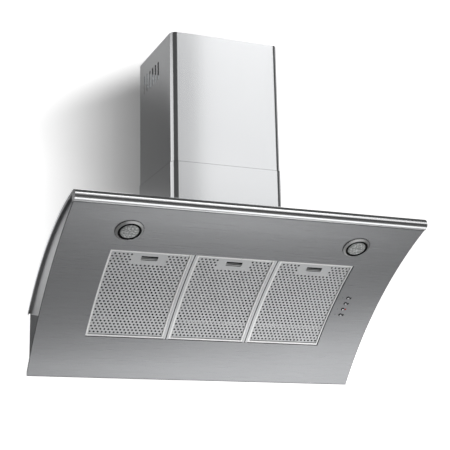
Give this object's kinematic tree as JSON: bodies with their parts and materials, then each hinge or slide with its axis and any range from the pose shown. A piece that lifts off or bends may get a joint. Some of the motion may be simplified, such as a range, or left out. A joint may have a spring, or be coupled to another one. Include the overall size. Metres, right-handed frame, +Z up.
{
  "type": "range hood",
  "caption": "Wall-mounted stainless range hood: curved canopy with rolled front edge, bowed underside with drop-down filters, lamps and push buttons, telescopic chimney.",
  "frame": {"origin": "on the wall plane, in the middle of the four wall screws of the rear box", "axes": "+X to the right seen from the front, +Y into the wall, +Z up"},
  "size_m": [0.9, 0.4468, 0.8623],
  "materials": {
    "outer_steel": "satin brushed",
    "cheek_steel": "satin brushed",
    "back_steel": "satin grey coat",
    "panel_steel": "satin brushed across the width",
    "rail_steel": "satin",
    "filter_frame": "satin",
    "filter_face": "fine grain",
    "filter_mesh": "expanded mesh",
    "latch_tub": "moulded",
    "latch_steel": "pressed",
    "bezel_steel": "turned",
    "lamp_gasket": "matte",
    "lamp_glass": "frosted",
    "lamp_can": "plain",
    "lamp_bulb": "clear capsule",
    "button_cap": "satin plated",
    "indicator_light": "clear red",
    "control_housing": "moulded",
    "circuit_board": "solder mask",
    "switch_body": "moulded",
    "transformer_case": "potted case",
    "galvanised_steel": "zinc coated",
    "scroll_plastic": "moulded",
    "wheel_plastic": "moulded",
    "ground_steel": "ground",
    "motor_case": "lacquered",
    "spider_steel": "zinc coated",
    "zinc_screws": "bright zinc",
    "collar_plastic": "moulded",
    "flap_plastic": "moulded",
    "capacitor_case": "plain",
    "junction_plastic": "moulded",
    "gland_plastic": "moulded"
  },
  "bodies": {
    "hood": {"canopy_cover": "outer_steel", "cheek_left": "cheek_steel", "cheek_right": "cheek_steel", "rear_box": "back_steel", "underside_panel": "panel_steel", "filter_rails": "rail_steel", "lamp_bezel_left": "bezel_steel", "lamp_bezel_right": "bezel_steel", "lamp_gasket_left": "lamp_gasket", "lamp_gasket_right": "lamp_gasket", "lamp_glass_left": "lamp_glass", "lamp_glass_right": "lamp_glass", "lamp_housing_left": "lamp_can", "lamp_housing_right": "lamp_can", "lamp_bulb_left": "lamp_bulb", "lamp_bulb_right": "lamp_bulb", "indicator_lights": "indicator_light", "control_housing": "control_housing", "control_board": "circuit_board", "tact_switches": "switch_body", "lamp_transformer": "transformer_case", "blower_box": "galvanised_steel", "scroll_left": "scroll_plastic", "scroll_right": "scroll_plastic", "motor": "motor_case", "motor_spider": "spider_steel", "motor_screws": "zinc_screws", "outlet_collar": "collar_plastic", "collar_screws": "zinc_screws", "capacitor": "capacitor_case", "junction_box": "junction_plastic", "cable_gland": "gland_plastic", "chimney_lower": "outer_steel", "chimney_bracket": "galvanised_steel"},
    "filter_left": {"filter_frame_left": "filter_frame", "filter_face_left": "filter_face", "filter_mesh_left": "filter_mesh", "latch_housing_left": "latch_tub"},
    "latch_left": {"latch_left": "latch_steel"},
    "filter_middle": {"filter_frame_middle": "filter_frame", "filter_face_middle": "filter_face", "filter_mesh_middle": "filter_mesh", "latch_housing_middle": "latch_tub"},
    "latch_middle": {"latch_middle": "latch_steel"},
    "filter_right": {"filter_frame_right": "filter_frame", "filter_face_right": "filter_face", "filter_mesh_right": "filter_mesh", "latch_housing_right": "latch_tub"},
    "latch_right": {"latch_right": "latch_steel"},
    "button_fan_off": {"button_fan_off": "button_cap"},
    "button_fan_low": {"button_fan_low": "button_cap"},
    "button_fan_high": {"button_fan_high": "button_cap"},
    "button_light": {"button_light": "button_cap"},
    "fan": {"impeller": "wheel_plastic", "motor_shaft": "ground_steel"},
    "flap_left": {"flap_left": "flap_plastic"},
    "flap_right": {"flap_right": "flap_plastic"},
    "chimney_upper": {"chimney_upper": "outer_steel"}
  },
  "joints": [
    {"name": "filter_left_drop", "type": "hinge", "parent": "hood", "child": "filter_left", "pos_m": [-0.2195, -0.08207, 0.0155], "axis": [1, 0, 0], "range_deg": [0, 55]},
    {"name": "filter_middle_drop", "type": "hinge", "parent": "hood", "child": "filter_middle", "pos_m": [0, -0.08207, 0.0155], "axis": [1, 0, 0], "range_deg": [0, 55]},
    {"name": "filter_right_drop", "type": "hinge", "parent": "hood", "child": "filter_right", "pos_m": [0.2195, -0.08207, 0.0155], "axis": [1, 0, 0], "range_deg": [0, 55]},
    {"name": "latch_left_pull", "type": "slide", "parent": "filter_left", "child": "latch_left", "axis": [0, 0.8364, -0.5481], "range_m": [0, 0.005], "stiffness_N_per_m": 300},
    {"name": "latch_middle_pull", "type": "slide", "parent": "filter_middle", "child": "latch_middle", "axis": [0, 0.8364, -0.5481], "range_m": [0, 0.005], "stiffness_N_per_m": 300},
    {"name": "latch_right_pull", "type": "slide", "parent": "filter_right", "child": "latch_right", "axis": [0, 0.8364, -0.5481], "range_m": [0, 0.005], "stiffness_N_per_m": 300},
    {"name": "button_fan_off_press", "type": "slide", "parent": "hood", "child": "button_fan_off", "axis": [0, 0.6101, 0.7923], "range_m": [0, 0.0015], "stiffness_N_per_m": 600},
    {"name": "button_fan_low_press", "type": "slide", "parent": "hood", "child": "button_fan_low", "axis": [0, 0.6234, 0.7819], "range_m": [0, 0.0015], "stiffness_N_per_m": 600},
    {"name": "button_fan_high_press", "type": "slide", "parent": "hood", "child": "button_fan_high", "axis": [0, 0.6366, 0.7712], "range_m": [0, 0.0015], "stiffness_N_per_m": 600},
    {"name": "button_light_press", "type": "slide", "parent": "hood", "child": "button_light", "axis": [0, 0.6495, 0.7603], "range_m": [0, 0.0015], "stiffness_N_per_m": 600},
    {"name": "fan_spin", "type": "hinge", "parent": "hood", "child": "fan", "pos_m": [0, -0.11, 0.294], "axis": [1, 0, 0], "continuous": true},
    {"name": "flap_left_lift", "type": "hinge", "parent": "hood", "child": "flap_left", "pos_m": [-0.004, -0.146, 0.42805], "axis": [0, 1, 0], "range_deg": [0, 75]},
    {"name": "flap_right_lift", "type": "hinge", "parent": "hood", "child": "flap_right", "pos_m": [0.004, -0.146, 0.42805], "axis": [0, -1, 0], "range_deg": [0, 75]},
    {"name": "chimney_slide", "type": "slide", "parent": "hood", "child": "chimney_upper", "axis": [0, 0, -1], "range_m": [0, 0.14]}
  ]
}
